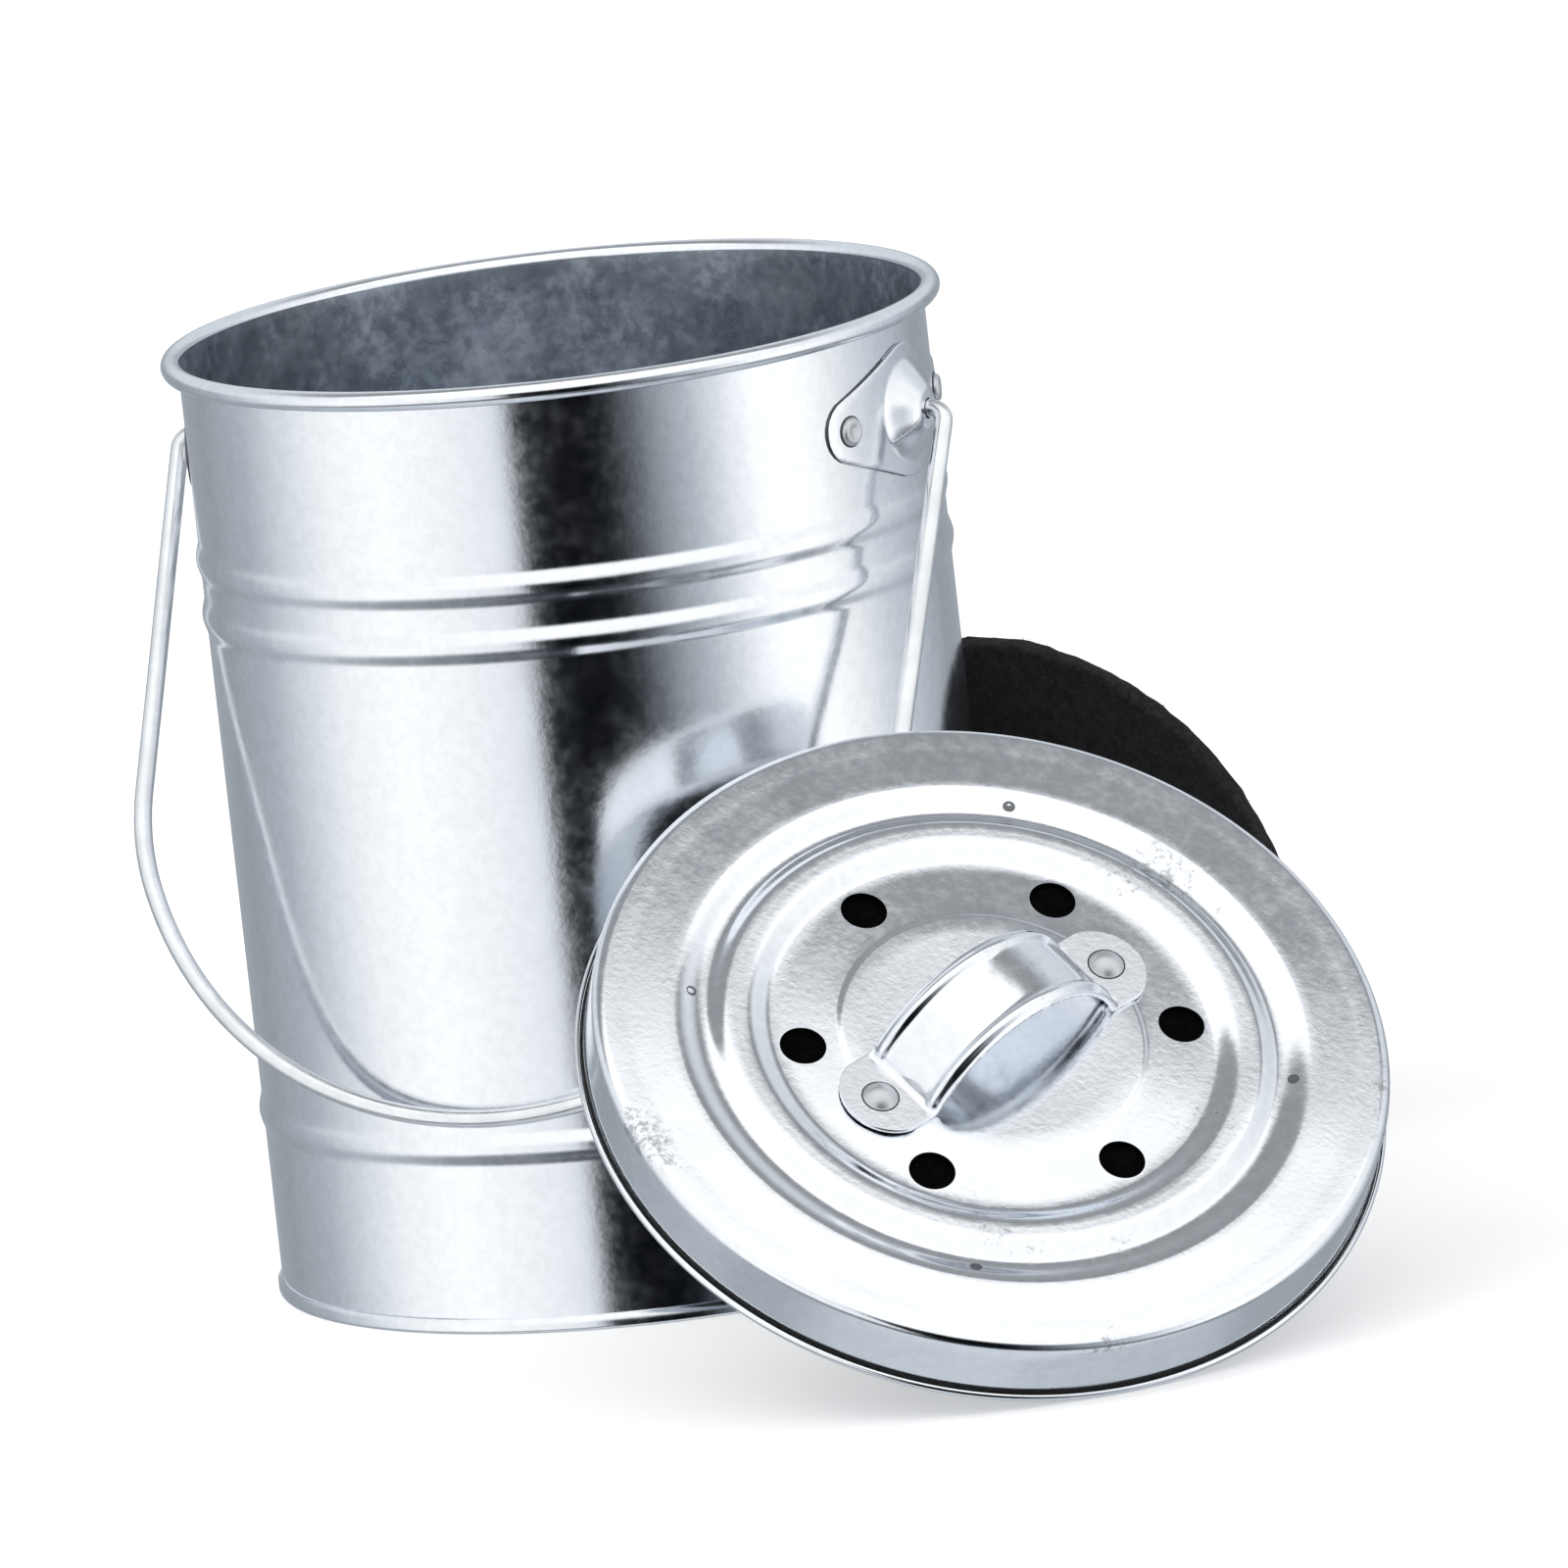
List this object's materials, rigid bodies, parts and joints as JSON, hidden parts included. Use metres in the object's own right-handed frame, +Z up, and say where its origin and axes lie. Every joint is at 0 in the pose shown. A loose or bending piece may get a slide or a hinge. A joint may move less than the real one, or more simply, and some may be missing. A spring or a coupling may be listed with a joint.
{
  "type": "compost caddy",
  "caption": "Sheet-steel bucket with a wire bail on riveted ears, a lift-off vented lid with a strap handle, and felt filters.",
  "frame": {"origin": "centre of the bucket's bottom hem, on the surface it stands on", "axes": "+Z up along the bucket's axis; the bail turns about X and hangs towards -Y, the front; the lid leans at the front on the +X side, the filter at the back on the +X side"},
  "size_m": [0.3195, 0.3095, 0.22],
  "materials": {
    "galvanised_sheet": "shiny galvanised sheet with a soft mottle",
    "steel_wire": "bright drawn wire",
    "rivet_steel": "satin",
    "felt": "matt black needled felt"
  },
  "bodies": {
    "bucket": {"body_shell": "galvanised_sheet", "rim_wire": "steel_wire", "base_pan": "galvanised_sheet", "ear_right": "galvanised_sheet", "ear_left": "galvanised_sheet", "ear_rivet_right_front": "rivet_steel", "ear_rivet_right_back": "rivet_steel", "ear_rivet_left_front": "rivet_steel", "ear_rivet_left_back": "rivet_steel"},
    "bail": {"bail_wire": "steel_wire"},
    "lid": {"lid_pan": "galvanised_sheet", "lid_handle": "galvanised_sheet", "lid_rivet_1": "rivet_steel", "lid_rivet_2": "rivet_steel", "filter_clip_1": "galvanised_sheet", "filter_clip_2": "galvanised_sheet", "filter_clip_3": "galvanised_sheet", "filter_clip_4": "galvanised_sheet", "fitted_filter": "felt"},
    "filter": {"filter_pad": "felt"}
  },
  "joints": [
    {"name": "lid_lift", "type": "slide", "parent": "bucket", "child": "lid", "axis": [0.6824, -0.5332, 0.5], "range_m": [0, 0.42]},
    {"name": "bail_swing", "type": "hinge", "parent": "bucket", "child": "bail", "pos_m": [0, 0, 0.195], "axis": [-1, 0, 0], "range_deg": [0, 296.9]},
    {"name": "filter_lift", "type": "slide", "parent": "bucket", "child": "filter", "axis": [0.6269, 0.7742, 0.0872], "range_m": [0, 0.12]}
  ],
  "couplings": [
    {"joint": "bail_swing", "follows": "lid_lift", "rad_per_m": 12.338},
    {"joint": "filter_lift", "follows": "lid_lift", "ratio": 0.2857}
  ]
}
